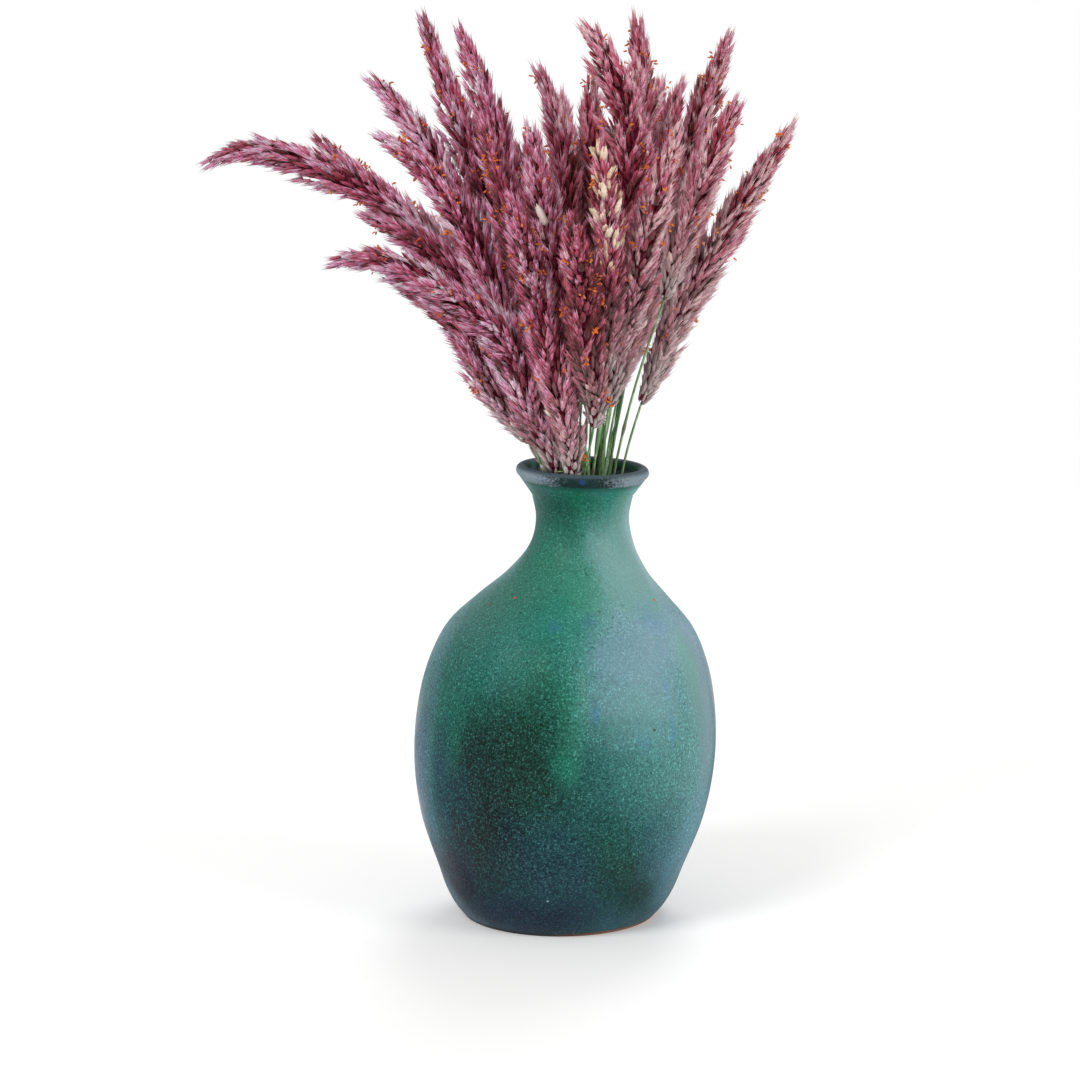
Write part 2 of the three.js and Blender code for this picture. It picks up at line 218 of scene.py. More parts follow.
def smooth_line(points, count):
    """Evenly spread points on a smooth line through the given ones."""
    points = np.array(points, float)
    runs = np.linalg.norm(np.diff(points, axis=0), axis=1)
    marks = np.concatenate([[0], np.cumsum(runs)])
    slopes = np.gradient(points, marks, axis=0)
    places = np.linspace(0, marks[-1], count)
    k = np.clip(np.searchsorted(marks, places) - 1, 0, len(runs) - 1)
    run = runs[k][:, None]
    t = (places[:, None] - marks[k][:, None]) / run
    starts = (1 + 2 * t) * (1 - t) ** 2 * points[k] + t * (1 - t) ** 2 * run * slopes[k]
    return starts + t * t * (3 - 2 * t) * points[k + 1] + t * t * (t - 1) * run * slopes[k + 1]


def eased(value, start, end):
    share = min(max((value - start) / (end - start), 0), 1)
    return share * share * (3 - 2 * share)


def drift(height):
    shoulder = SHOULDER_DRIFT * eased(height, SHOULDER_START, SHOULDER_END)
    return BELLY_DRIFT * min(height, BELLY_TOP) / BELLY_TOP + shoulder


outside = smooth_line(WALL_OUTLINE, WALL_STEPS)
heading = np.gradient(outside, axis=0)
heading /= np.linalg.norm(heading, axis=1)[:, None]
inside = outside + WALL_THICKNESS * np.stack([-heading[:, 1], heading[:, 0]], axis=1)
inside = inside[inside[:, 1] > FLOOR_HEIGHT + WALL_THICKNESS][::-2]
roll = [math.radians(angle) for angle in LIP_ARC]
lip = [(LIP_RADIUS + LIP_ROLL * math.cos(a), LIP_HEIGHT + LIP_ROLL * math.sin(a)) for a in roll]
foot = [(0, 0), (FOOT_FLAT, 0), (FOOT_RADIUS, 0), FOOT_EDGE]
bottom = [(FLOOR_RADIUS, FLOOR_HEIGHT), (FLOOR_RADIUS / 2, FLOOR_HEIGHT), (0, FLOOR_HEIGHT)]

shell = bmesh.new()
profile = [shell.verts.new((r, 0, z)) for r, z in (*foot, *outside, *lip, *inside, *bottom)]
for low, high in zip(profile, profile[1:]):
    shell.edges.new((low, high))
bmesh.ops.spin(
    shell, geom=shell.verts[:] + shell.edges[:], axis=(0, 0, 1), cent=(0, 0, 0),
    angle=math.tau, steps=VASE_SIDES, use_merge=True,
)
bmesh.ops.remove_doubles(shell, verts=shell.verts, dist=0.001)
bmesh.ops.recalc_face_normals(shell, faces=shell.faces)
for corner in shell.verts:
    x, y, z = corner.co
    dip = x * LIP_TILT * eased(z, TILT_FROM, LIP_HEIGHT)
    corner.co = Vector((x + drift(z), y, z - dip)) * MM
vase_mesh = bpy.data.meshes.new("vase_body")
shell.to_mesh(vase_mesh)
shell.free()
vase_mesh.shade_smooth()


def on_wall(angle, height):
    """The point on the outside at this angle from the front, to the right, and this height."""
    radius = np.interp(height, outside[:, 1], outside[:, 0])
    turn = math.radians(angle)
    return Vector((drift(height) + radius * math.sin(turn), -radius * math.cos(turn), height)) * MM


# Each run of the glaze, and over them each thin veil and painted reflection: its colour, strength,
# angle and height, half width and half height (mm) and how soft its edge is.
RUNS = (
    # The neck and the shoulder, from left to right.
    ("005a3f", 0.95, -6, 203, 28, 26, 1.0), ("004035", 0.75, -49, 187, 19, 31, 0.4),
    ("00715e", 0.95, 43, 203, 9, 27, 0.5), ("29725c", 0.95, -26, 166, 31, 29, 0.6),
    ("257565", 0.85, -5, 147, 23, 55, 0.7), ("4f967c", 0.30, 9, 162, 12, 16, 0.9),
    ("095747", 0.85, -47, 127, 34, 55, 0.7), ("396d62", 0.85, -60, 155, 31, 27, 0.9),
    # The long drip with its end, and the dark pools on its left.
    ("106c5b", 0.55, -22, 137, 22, 55, 1.0), ("408877", 0.95, 0, 110, 8, 28, 0.7),
    ("015541", 0.90, -11, 115, 19, 43, 0.9), ("002f25", 0.95, -21, 86, 34, 39, 0.7),
    ("00232e", 0.95, -38, 36, 32, 42, 0.3), ("000724", 0.95, -58, 28, 16, 15, 0.5),
    # The streaks and the slate blue on the left, where the pale grey-violet at the very edge is a
    # painted reflection.
    ("485e74", 0.50, -67, 77, 10, 55, 0.7), ("073d46", 0.95, -54, 70, 8, 38, 0.7),
    ("126f73", 0.30, -64, 55, 9, 53, 1.0), ("9fa6bd", 0.95, -87, 69, 19, 36, 0.8),
    ("256158", 0.80, -32, 125, 3, 16, 0.5), ("187660", 0.45, 0, 87, 7, 8, 1.0),
    # The speckled teal on the right, and the pools above the foot.
    ("44817d", 0.55, 32, 93, 21, 35, 0.9), ("28545e", 0.95, 41, 12, 34, 55, 0.5),
    ("002222", 0.95, -31, 48, 17, 55, 0.9), ("00372f", 0.95, 25, 30, 20, 19, 0.7),
    ("004500", 0.35, 19, 50, 20, 14, 1.0), ("002e2a", 0.90, 39, 18, 14, 10, 0.8),
    ("042e2c", 0.50, 48, 9, 13, 9, 1.0),
    ("183940", 0.95, -5, 17, 30, 55, 0.7), ("142438", 0.85, -16, 11, 34, 11, 0.7),
    ("4a7987", 0.95, 66, 48, 19, 55, 0.9), ("679e9b", 0.60, 55, 98, 28, 55, 1.0),
    ("002b2a", 0.90, -36, 84, 8, 24, 0.8), ("24695f", 0.30, -20, 131, 5, 55, 0.9),
    ("01323a", 0.90, -44, 69, 10, 15, 0.9), ("498171", 0.60, 6, 127, 3, 49, 0.8),
    ("005b49", 0.65, 21, 107, 22, 5, 0.9), ("416073", 0.90, -75, 81, 13, 22, 0.5),
    # The far side, with the same kinds of run.
    ("0d6550", 0.80, 150, 118, 8, 34, 0.7), ("0a3430", 0.80, 168, 80, 36, 30, 1.0),
    ("145f4a", 0.80, -150, 170, 16, 34, 0.8), ("10403a", 0.75, -118, 62, 22, 22, 0.9),
    ("0f2c2a", 0.60, 126, 56, 26, 24, 1.0), ("1d5a50", 0.70, 178, 150, 40, 40, 0.9),
)
VEILS_AND_REFLECTIONS = (
    # The pale haze on the right of the neck and the shoulder, which ends in a firm edge. It is partly a
    # veil in the glaze and partly a painted reflection of the lamp on the right.
    ("a6bec0", 0.60, 70, 176, 20, 31, 1.0), ("6c9893", 0.70, 47, 165, 17, 33, 0.3),
    ("698d97", 0.55, 31, 136, 22, 12, 0.3), ("86a2b1", 0.70, 71, 140, 33, 12, 1.0),
    ("729b9f", 0.60, 31, 114, 28, 19, 1.0), ("006054", 0.95, 66, 120, 9, 40, 0.8),
    ("8a9eac", 0.70, 69, 121, 14, 55, 0.8), ("819ea9", 0.35, 41, 133, 16, 22, 0.8),
    ("68908f", 0.55, 18, 181, 6, 9, 0.7), ("76a59b", 0.75, 62, 131, 10, 43, 1.0),
    ("1c6478", 0.60, 82, 60, 13, 55, 1.0),
    # Small blue and violet blooms. The last, grey-violet one, at the right edge, is a painted reflection.
    ("2f6a86", 0.45, -9, 150, 4, 4, 0.9), ("3c6c84", 0.40, 10, 152, 3, 5, 0.9),
    ("3a6c96", 0.45, 10, 114, 2.6, 7, 0.9), ("4a78a8", 0.45, 44, 103, 2.2, 9, 0.9),
    ("4a7c9c", 0.40, 31, 97, 4, 5, 0.9), ("6888b4", 0.40, 42, 119, 2.4, 12, 0.9),
    ("6f8cb4", 0.35, 50, 150, 8, 10, 0.9), ("9a9ab4", 0.50, 84, 112, 7, 24, 0.8),
    # The far side.
    ("7499a6", 0.75, -128, 132, 20, 22, 0.7), ("6fa58a", 0.60, 118, 112, 9, 30, 0.8),
)
# Grains of iron and white grog in the glaze, and the blue spot on the lip: colour, angle, height,
# radius.
GRAINS = (
    ("a5612c", -43.9, 159.5, 0.95), ("6b4a2a", -60.2, 155.1, 0.8), ("b0682a", 62.7, 156.8, 1.1),
    ("9a6034", 77.9, 132.6, 0.8), ("3c3a2e", 35.1, 102.8, 0.8), ("1c3038", -74.8, 125.8, 0.9),
    ("10352c", -18.2, 134.8, 0.7), ("9fb8b4", -6, 20.5, 0.5), ("1a3f6c", 0, 214.6, 1.7),
    ("a5612c", 130, 140, 0.9), ("a5612c", -140, 120, 0.9),
)
# The front of the rolled lip, where the blue spot is: how far to the right, and to the back.
LIP_FRONT = (10.6, -31.3)
# The height that the glaze's shades end at.
GLAZE_TOP = 0.216
# Where each colour of the lip and the foot passes into the next, in metres: the painted shade in the
# crease under the lip, the lip's own dull glaze, the painted highlight on the top of its rim, the
# painted grey-violet reflection on both sides of its front, the painted shade deep inside the vase,
# and the bare clay at the foot with its warmer right.
LIP_SHADE_LINE = (0.2095, 0.2122)
LIP_GLAZE = (0.2120, 0.2130)
RIM_HIGHLIGHT = (0.2165, 0.2185)
LIP_SIDE_REFLECTION = (0.018, 0.034)
INSIDE_SHADE = (0.16, 0.19)
CLAY_LINE = (0.0014, 0.0004)
CLAY_WARMTH = (-0.01, 0.03)
# The throat is inside this radius at this height, and widens by this much for each metre up.
THROAT_RADIUS = 0.0205
THROAT_HEIGHT = 0.195
THROAT_FLARE = 0.28
DARKEST_GLAZE = (0.001, 0.002, 0.002)
glaze = Finish("teal_glaze", Specular_IOR_Level=0.15)
where = glaze.place()
across, _, depths = (glaze.node("SeparateXYZ", {0: where}, axis) for axis in range(3))
runny = glaze.vector("MULTIPLY", where, (60, 60, 22))
waver = glaze.vector("SUBTRACT", glaze.noise(runny, 1, 3, output=1), (0.5, 0.5, 0.5))
warped = glaze.vector("ADD", where, glaze.vector("MULTIPLY", waver, (0.008, 0.008, 0.014)))
height = glaze.node("SeparateXYZ", {0: warped}, "Z")


def laid(colour, patches):
    """The colour with each patch laid over it in turn."""
    for written, strength, angle, high, wide, tall, softness in patches:
        away = glaze.vector("SUBTRACT", warped, on_wall(angle, high))
        shaped = glaze.vector("MULTIPLY", away, (1 / wide / MM, 1 / wide / MM, 1 / tall / MM))
        distance = glaze.vector("LENGTH", shaped, output="Value")
        share = glaze.fade(distance, 1 + softness / 2, 1 - softness, 0, strength)
        colour = glaze.mixed(share, colour, dye(written))
    return colour


def speckled(colour, evenly, added):
    """The colour with the speckle, part of it in step with the colour and part of it added."""
    swing = glaze.vector("MULTIPLY_ADD", colour, (evenly, evenly, evenly), added)
    colour = glaze.vector("MULTIPLY_ADD", swing, speckle, colour)
    return glaze.vector("MAXIMUM", colour, DARKEST_GLAZE)


colour = glaze.ramp(
    glaze.fade(height, 0, GLAZE_TOP),
    (0, dye("3d5061")), (0.08, dye("003d49")), (0.22, dye("184c4a")), (0.45, dye("2a5f5a")),
    (0.7, dye("698d98")), (0.9, dye("76a1a2")), (1, dye("539799")),
)
colour = laid(colour, RUNS)

# The speckle: pale and dark points less than a millimetre wide, calmer near the foot and above the
# belly, and faint in the veils.
fine = glaze.noise(where, 0.0012, 2)
finer = glaze.noise(where, 0.0006, 1)
even = glaze.sum("SUBTRACT", glaze.sum("ADD", fine, finer), 1)
points = glaze.sum("MULTIPLY", glaze.sum("MAXIMUM", glaze.sum("SUBTRACT", even, 0.12), 0), 2)
calm = glaze.fade(height, 0.012, 0.04, 0.5, 1)
calm = glaze.sum("MULTIPLY", calm, glaze.fade(height, 0.165, 0.125, 0.65, 1))
speckle = glaze.sum("MULTIPLY", glaze.sum("ADD", even, points), calm)
colour = speckled(colour, 0.5, (0.03, 0.07, 0.06))
dots = glaze.fade(glaze.noise(where, 0.0016, 0), 0.72, 0.78, 0, 0.5)
colour = glaze.mixed(dots, colour, dye("0a3a30"))
colour = speckled(laid(colour, VEILS_AND_REFLECTIONS), 0.2, (0.01, 0.02, 0.02))

# The lip, where the glaze is thin and dull, with a dark line of painted shade under it, and the green
# inside, with painted shade deeper down.
level = glaze.sum("ADD", depths, glaze.sum("MULTIPLY", across, LIP_TILT))
level = glaze.sum("ADD", level, glaze.sum("MULTIPLY", fine, 0.0014))
beside = glaze.sum("ABSOLUTE", glaze.sum("SUBTRACT", across, LIP_ASIDE))
# Painted reflection: grey-violet on both sides of the lip's front, where it turns away.
lip_side_reflection = glaze.fade(glaze.sum("ADD", beside, glaze.sum("MULTIPLY", fine, 0.02)), *LIP_SIDE_REFLECTION)
# Painted shade: a dark line in the crease under the rolled lip.
lip_crease_shade = glaze.fade(level, *LIP_SHADE_LINE, 0, 0.55)
colour = glaze.mixed(lip_crease_shade, colour, dye("0a2c26"))
lip_colour = speckled(glaze.mixed(lip_side_reflection, dye("152b2c"), dye("7b8b94")), 0.4, (0.015, 0.03, 0.03))
# Painted highlight: the top of the rim is made lighter.
lip_colour = glaze.mixed(glaze.fade(level, *RIM_HIGHLIGHT), lip_colour, dye("46565e"))
lip_share = glaze.fade(level, *LIP_GLAZE)
colour = glaze.mixed(lip_share, colour, lip_colour)
from_axis = glaze.vector("SUBTRACT", where, (LIP_ASIDE, 0, 0))
from_axis = glaze.vector("LENGTH", glaze.vector("MULTIPLY", from_axis, (1, 1, 0)), output="Value")
above = glaze.sum("SUBTRACT", level, THROAT_HEIGHT)
throat = glaze.sum("ADD", glaze.sum("MULTIPLY", above, THROAT_FLARE), THROAT_RADIUS)
within = glaze.fade(glaze.sum("SUBTRACT", from_axis, throat), 0.0005, -0.0008)
# Painted shade: the inside of the vase darkens deeper down.
inner = glaze.mixed(glaze.fade(depths, *INSIDE_SHADE), dye("12201c"), dye("2c6a54"))
colour = glaze.mixed(within, colour, inner)

# The grains, and the line of bare clay at the very foot, which shows more on the right.
for written, angle, high, radius in GRAINS:
    spot = on_wall(angle, high) if high < WALL_TOP else Vector((*LIP_FRONT, high)) * MM
    distance = glaze.vector("DISTANCE", where, spot, output="Value")
    share = glaze.fade(distance, radius * 1.2 * MM, radius * 0.5 * MM, 0, 0.9)
    colour = glaze.mixed(share, colour, dye(written))
bare = glaze.fade(glaze.sum("SUBTRACT", depths, glaze.sum("MULTIPLY", fine, 0.0012)), *CLAY_LINE)
clay = glaze.mixed(glaze.fade(across, *CLAY_WARMTH), dye("33302f"), dye("94664a"))
colour = glaze.mixed(bare, colour, clay)

ribs = glaze.noise(glaze.vector("MULTIPLY", where, (6, 6, 90)), 1, 2)
pores = glaze.sum("MULTIPLY", fine, 0.5)
relief = glaze.sum("ADD", ribs, glaze.sum("MULTIPLY", pores, 0.35))
bumped = glaze.node("Bump", {"Height": relief, "Distance": 0.0004, "Strength": 0.35})
rough = glaze.fade(glaze.noise(where, 0.02, 3), 0.3, 0.7, 0.40, 0.52)
rough = glaze.sum("ADD", rough, glaze.sum("MULTIPLY", glaze.sum("ADD", lip_share, bare), 0.2))
vase = piece("vase_body", vase_mesh, glaze.done(Base_Color=colour, Roughness=rough, Normal=bumped))
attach(vase, "root")
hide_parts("vase")


# The stalks are dry grass culms, hollow straws about a millimetre and a half thick, still green.
# They stand on the vase's floor, cross in its neck and rise to the heads. Each has two knees, a
# few keep a flat leaf sheath below the head, and some a narrow leaf at the mouth of the vase.
HEADS = 29
SHEATHED = (8, 13, 19, 21, 24, 25)
# The heads whose feet have slipped down their stalks into the mouth of the vase, and how far (mm).
SLIPPED = {5: 6, 12: 9, 27: 8}
# Above the mouth of the vase, a stalk's own rings are followed up to this far below its head.
MOUTH_LEVEL = 0.2
SOCKET_GAP = 2 * MM
STALK_SIDES = 8
# A stalk's line has a point at every millimetre. Every fourth one gets a ring of corners, and the
# stalk ends five of them up inside its head.
STALK_STEP = 4
STALK_IN_HEAD = 5
STALK_RADIUS = 0.75 * MM
STALK_TAPER = 0.3
# Each knee's place, as a share of the stalk's length, and how much further up it may be.
KNEES = ((0.5, 0.1), (0.76, 0.08))
KNEE_LENGTH = 2.5 * MM
KNEE_SWELL = 0.35 * MM
SHEATH_LENGTH = 38 * MM
SHEATH_BELOW_HEAD = 5 * MM
SHEATH_HALF_WIDTH = 1.2 * MM
SHEATH_HALF_DEPTH = 0.8 * MM
LEAF_HALF_DEPTH = 0.3 * MM
LEAF_STEPS = 14
LEAF_SIDES = 6
# The leaves: the stalk's number, the height that the leaf leaves it at, the height of its tip, how
# far the tip stands to the right and to the back of the stalk, half its width, and how dark it is.
LEAVES = (
    (26, 204, 243, -6.5, 6, 2.6, 0.9), (25, 204, 242, -9, -1.5, 1.0, 0.0),
    (24, 203, 237, 0.5, -2, 1.9, 0.5), (18, 203, 256, -0.5, -2, 1.3, 1.0),
    (12, 205, 252, -7, -2, 1.0, 0.1), (17, 204, 236, 2, 3, 1.2, 0.8), (29, 204, 240, 2, 2, 1.2, 0.3),
    (15, 204, 244, 4, 4, 1.4, 0.6), (9, 204, 238, 2, 3, 1.1, 0.7),
)


def solid_of(node):
    """A copy of a plain solid with its corners joined."""
    solid = bmesh.new()
    solid.from_mesh(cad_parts[node].data)
    bmesh.ops.remove_doubles(solid, verts=solid.verts, dist=1e-6)
    solid.verts.index_update()
    return solid


def ring_middles(first, leave_out=()):
    """The middles of a solid's rings of five corners, from the first ring or point onwards."""
    ring = set(first)
    seen = set(leave_out)
    middles = []
    while len(ring) in (1, 5):
        in_order = sorted(ring, key=lambda corner: corner.index)
        middle = sum((corner.co for corner in in_order), Vector()) / len(ring)
        if middles and (middle - middles[-1]).length < 1e-4:
            break
        middles.append(middle)
        seen |= ring
        ring = {edge.other_vert(corner) for corner in ring for edge in corner.link_edges} - seen
    return middles


def stalk_middles(number):
    solid = solid_of(f"culm_{number:02}")
    middles = ring_middles(sorted(solid.verts, key=lambda corner: corner.co.z)[:5])
    solid.free()
    return middles


def head_middles(number, below):
    """The middles of a head's rings from its foot to its tip, and its widest reach."""
    solid = solid_of(f"plume_{number:02}")
    points = {corner for corner in solid.verts if len(corner.link_edges) == 4}
    core = [corner for corner in solid.verts if corner not in points]
    tip = max(core, key=lambda corner: (corner.co - below).length)
    middles = ring_middles([tip], points)[::-1]
    reach = max(min((p.co - middle).length for middle in middles) for p in points)
    solid.free()
    return middles, reach


def directions(line):
    """At each point of a line: which way it runs, and two ways across it that don't twist."""
    ahead = np.gradient(line, axis=0)
    ahead /= np.linalg.norm(ahead, axis=1)[:, None]
    across = np.zeros_like(ahead)
    held = np.array((1.0, 0, 0))
    for k, way in enumerate(ahead):
        held = held - way * (held @ way)
        held /= np.linalg.norm(held)
        across[k] = held
    return ahead, across, np.cross(ahead, across)


def drawn_tube(shell, line, widths, depths, sides, material=0):
    """A tube pulled along a line, with its half width and half depth at each point."""
    ahead, across, behind = directions(line)
    ring = bmesh.ops.create_circle(shell, segments=sides, radius=1, cap_ends=True)["verts"]
    flat = [corner.co.copy() for corner in ring]
    cap = next(face for face in ring[0].link_faces)
    cap.material_index = material
    cap.normal_flip()
    edges = list(cap.edges)
    for k, middle in enumerate(line):
        if k:
            grown = bmesh.ops.extrude_edge_only(shell, edges=edges)["geom"]
            ring = [g for g in grown if isinstance(g, bmesh.types.BMVert)]
            edges = [g for g in grown if isinstance(g, bmesh.types.BMEdge)]
            edges = [edge for edge in edges if all(corner in ring for corner in edge.verts)]
            for face in (g for g in grown if isinstance(g, bmesh.types.BMFace)):
                face.material_index = material
        for corner, place in zip(ring, flat):
            corner.co = middle + across[k] * place.x * widths[k] + behind[k] * place.y * depths[k]
    bmesh.ops.contextual_create(shell, geom=edges, mat_nr=material)


stalk_green = Finish("stalk_green", Specular_IOR_Level=0.5)
where = stalk_green.place()
drawn_out = stalk_green.vector("MULTIPLY", where, (1500, 1500, 90))
grain = stalk_green.noise(drawn_out, 1, 3)
patch = stalk_green.noise(where, 0.02, 2)
green = stalk_green.ramp(
    grain, (0.3, dye("4c7040")), (0.5, dye("84aa76")), (0.72, dye("bed4b0")),
)
green = stalk_green.mixed(stalk_green.fade(patch, 0.5, 0.68), green, dye("5c8a5a"))
leafy = stalk_green.ramp(grain, (0.3, dye("1c3a0c")), (0.5, dye("3c6420")), (0.72, dye("86a85c")))
green = stalk_green.mixed(stalk_green.read("leaf"), green, leafy)
knee = stalk_green.read("knee")
green = stalk_green.mixed(knee, green, dye("75684a"))
deep = stalk_green.fade(stalk_green.node("SeparateXYZ", {0: where}, "Z"), 0.205, 0.15)
green = stalk_green.mixed(deep, green, dye("6b6a45"))
ribbed = stalk_green.node("Bump", {"Height": grain, "Distance": 0.0002, "Strength": 0.4})
stalk_finish = stalk_green.done(Base_Color=green, Roughness=0.5, Normal=ribbed)

# Each spray's line runs from the foot of its stalk to the tip of its head. The stalk is made here,
# and the rest of the line is kept for the head, with the furthest that the head reaches from it.
sprays = {}
for number in range(1, HEADS + 1):
    below = stalk_middles(number)
    middles, reach = head_middles(number, below[-1])
    foot = middles[0]
    below = [middle for middle in below if middle.z < max(foot.z - SOCKET_GAP, MOUTH_LEVEL)]
    line = np.array(below + middles)
    length = np.linalg.norm(np.diff(line, axis=0), axis=1).sum()
    whole = smooth_line(line, int(length / MM))
    start = int(np.argmin(np.linalg.norm(whole - np.array(foot), axis=1))) - SLIPPED.get(number, 0)
    sprays[number] = whole[start:], reach

    draw = np.random.default_rng(100 + number)
    stalk = whole[: start + STALK_IN_HEAD]
    chosen = list(range(0, len(stalk) - 1, STALK_STEP)) + [len(stalk) - 1]
    run = np.array(chosen) * MM
    total = run[-1]
    width = STALK_RADIUS * (1.02 - STALK_TAPER * run / total)
    depth = width.copy()
    knees = np.zeros(len(run))
    for lowest, play in KNEES:
        share = lowest + play * draw.random()
        swell = np.exp(-((run - share * total) / KNEE_LENGTH) ** 2)
        knees += swell
        width += KNEE_SWELL * swell
        depth += KNEE_SWELL * swell
    if number in SHEATHED:
        top = total - STALK_IN_HEAD * MM - SHEATH_BELOW_HEAD
        inside_sheath = np.clip((run - top + SHEATH_LENGTH) / SHEATH_LENGTH, 0, 1)
        leaf = np.where(run < top + STALK_STEP * MM, np.sin(np.pi * inside_sheath ** 0.8) ** 0.6, 0)
        width = np.maximum(width, SHEATH_HALF_WIDTH * leaf)
        depth = np.maximum(depth, SHEATH_HALF_DEPTH * leaf)
    shell = bmesh.new()
    drawn_tube(shell, stalk[chosen], width, depth, STALK_SIDES)
    shades = [np.zeros(len(shell.verts))]
    for owner, low, high, aside, back, half_width, dark in LEAVES:
        if owner != number:
            continue
        rise = np.linspace(0, 1, LEAF_STEPS)
        level = (low + (high - low) * rise) * MM
        blade = np.stack([np.interp(level, stalk[:, 2], stalk[:, k]) for k in range(3)], axis=1)
        blade += np.outer(rise ** 1.3, (aside, back, 0)) * MM
        narrow = (0.55 + 0.45 * np.sin(np.pi * rise)) * (1 - rise ** 3) + 0.04
        wide = half_width * MM * narrow
        drawn_tube(shell, blade, wide, np.minimum(LEAF_HALF_DEPTH, wide), LEAF_SIDES)
        shades.append(np.full(len(shell.verts) - sum(map(len, shades)), dark))
    mesh = bpy.data.meshes.new(f"stalk_{number:02}")
    shell.to_mesh(mesh)
    shell.free()
    shades = np.concatenate(shades)
    marks = np.zeros(len(shades))
    marks[: len(knees) * STALK_SIDES] = np.repeat(np.clip(knees, 0, 1), STALK_SIDES)
    mesh.attributes.new("knee", "FLOAT", "POINT").data.foreach_set("value", marks)
    mesh.attributes.new("leaf", "FLOAT", "POINT").data.foreach_set("value", shades)
    mesh.shade_smooth()
    stalk_piece = piece(f"stalk_{number:02}", mesh, stalk_finish)
    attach(stalk_piece, "root")
    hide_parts(f"culm_{number:02}")


# The heads are dense panicles. Short side branches lie close along a thin green stem, crowded with
# spikelets: lance-shaped husks with silky hairs, dried rose to burgundy with a silver sheen, some
# fat pale kernels low down, and orange anthers on threads. They were dried with the stalk on.
BRANCH_PITCH = 2.5 * MM
BRANCH_LONGEST = 30 * MM
BRANCH_SHORTEST = 11 * MM
BRANCH_BELOW_TIP = 3 * MM
FIRST_BRANCH = 1.5 * MM
LAST_BRANCH_BELOW = 2 * MM
TWIG_RADIUS = 0.17 * MM
STEM_RADII = (0.62 * MM, 0.25 * MM)
SPIKELET_PITCH = 1.6 * MM
SPIKELET_LENGTH = 7.2 * MM
SPIKELET_WIDTH = 2.1 * MM
SPIKELET_SUNK = 1.5 * MM
SPIKELET_SPREAD = 1.9 * MM
INNER_PITCH = 0.75 * MM
GOLDEN_TURN = math.radians(137.5)
# How full a head is, as shares of its reach and of its length: at its foot, in its middle, and where
# it begins to taper and how much of its fullness the tip loses.
FOOT_FULLNESS = 0.2
MIDDLE_GAIN = 0.1
MIDDLE_AT = 0.38
MIDDLE_SPREAD = 0.16
TAPER_FROM = 0.68
TAPER_LOSS = 0.65
# The fat kernels, as a share of the spikelets below this share of a head's length.
KERNEL_SHARE = 0.05
KERNELS_BELOW = 0.3
# How many of the side branches carry anthers: few on the first heads, which lean to the left.
ANTHERS_FEW = 0.2
ANTHERS_MANY = 0.45
LEFT_HEADS = range(1, 8)
# The cream head is slimmer, and some of its outer husks stand open from this share of its length.
CREAM_HEAD = 25
CREAM_REACH = 0.85
PARTED_FROM = 0.42
PARTED_SHARE = 0.28
# How much paler than the others a head is, or darker where it is less than nothing: partly each head's
# own tone, partly painted light on the heads at the front and the sides and painted shade on those in
# the middle and at the back of the bunch.
TONE_AND_PAINTED_LIGHT = {
    1: 0.1, 4: 0.1, 5: 0.14, 6: 0.1, 7: 0.06, 8: 0.08, 9: 0.1, 10: -0.24, 11: 0.08, 13: 0.08, 14: 0.08,
    15: 0.08, 17: 0.32, 18: 0.22, 19: 0.12, 20: 0.26, 21: 0.18, 22: 0.28, 23: 0.47, 24: 0.44,
    26: -0.18, 27: -0.2, 28: -0.3, 29: 0.1,
}
# How much darker still the lower half of a head is: painted shade, where it stands inside the bunch.
LOWER_PAINTED_SHADE = {14: 0.7, 15: 0.7, 16: 0.6, 17: 0.65, 18: 0.45, 24: 0.2, 25: 0.45, 26: 0.25, 27: 0.35, 28: 0.5}
# The head whose upper branches also reach far to the right, and the ones with crowded feet.
WIDE_HEAD = 17
WIDE_GAIN = 0.9
CROWDED_FEET = (5, 6, 12, 27)
CROWDED_GAIN = 1.35
# The heads on the right, which are pale further up from their feet.
PALE_FEET = (20, 21, 22, 23, 24, 29)
PALE_FEET_RISE = 0.6
# One bare white seed that has caught on a head: the head's number, and the seed's foot and tip.
SEEDED = 13
SEED_FOOT = (-5.9, -53.5, 335.8)
SEED_TIP = (-10.4, -53.5, 345.7)
# A head's finishes, by their places in its list, and the marks that its corners carry.
HUSKS, ANTHERS, STEM, SHADE_CORE, CREAM = range(5)
MARKS = ("tint", "silk", "along", "lift", "rise")


def husk(shell, width, depth, length, lean, side, sides=4, rings=3):
    """One lance-shaped husk, keeled on its outer side and leaning off the middle."""
    made = bmesh.ops.create_uvsphere(shell, u_segments=sides, v_segments=rings, radius=0.5)["verts"]
    for corner in made:
        x, y, z = corner.co
        rise = z + 0.5
        corner.co = Vector((x * width, y * depth, rise ** 1.3 * length))
    turn = Matrix.Rotation(side, 3, "Z") @ Matrix.Rotation(lean, 3, "Y")
    bmesh.ops.rotate(shell, verts=made, cent=(0, 0, 0), matrix=turn)


def hair(shell, foot, tip, width):
    """One silky hair, a sliver with three sides."""
    made = bmesh.ops.create_cone(
        shell, segments=3, radius1=width, radius2=0, depth=1, cap_ends=False,
    )["verts"]
    way = Vector(tip) - Vector(foot)
    bmesh.ops.translate(shell, verts=made, vec=(0, 0, 0.5))
    bmesh.ops.scale(shell, verts=made, vec=(1, 1, way.length))
    bmesh.ops.rotate(shell, verts=made, cent=(0, 0, 0), matrix=way.to_track_quat("Z", "Y").to_matrix())
    bmesh.ops.translate(shell, verts=made, vec=foot)


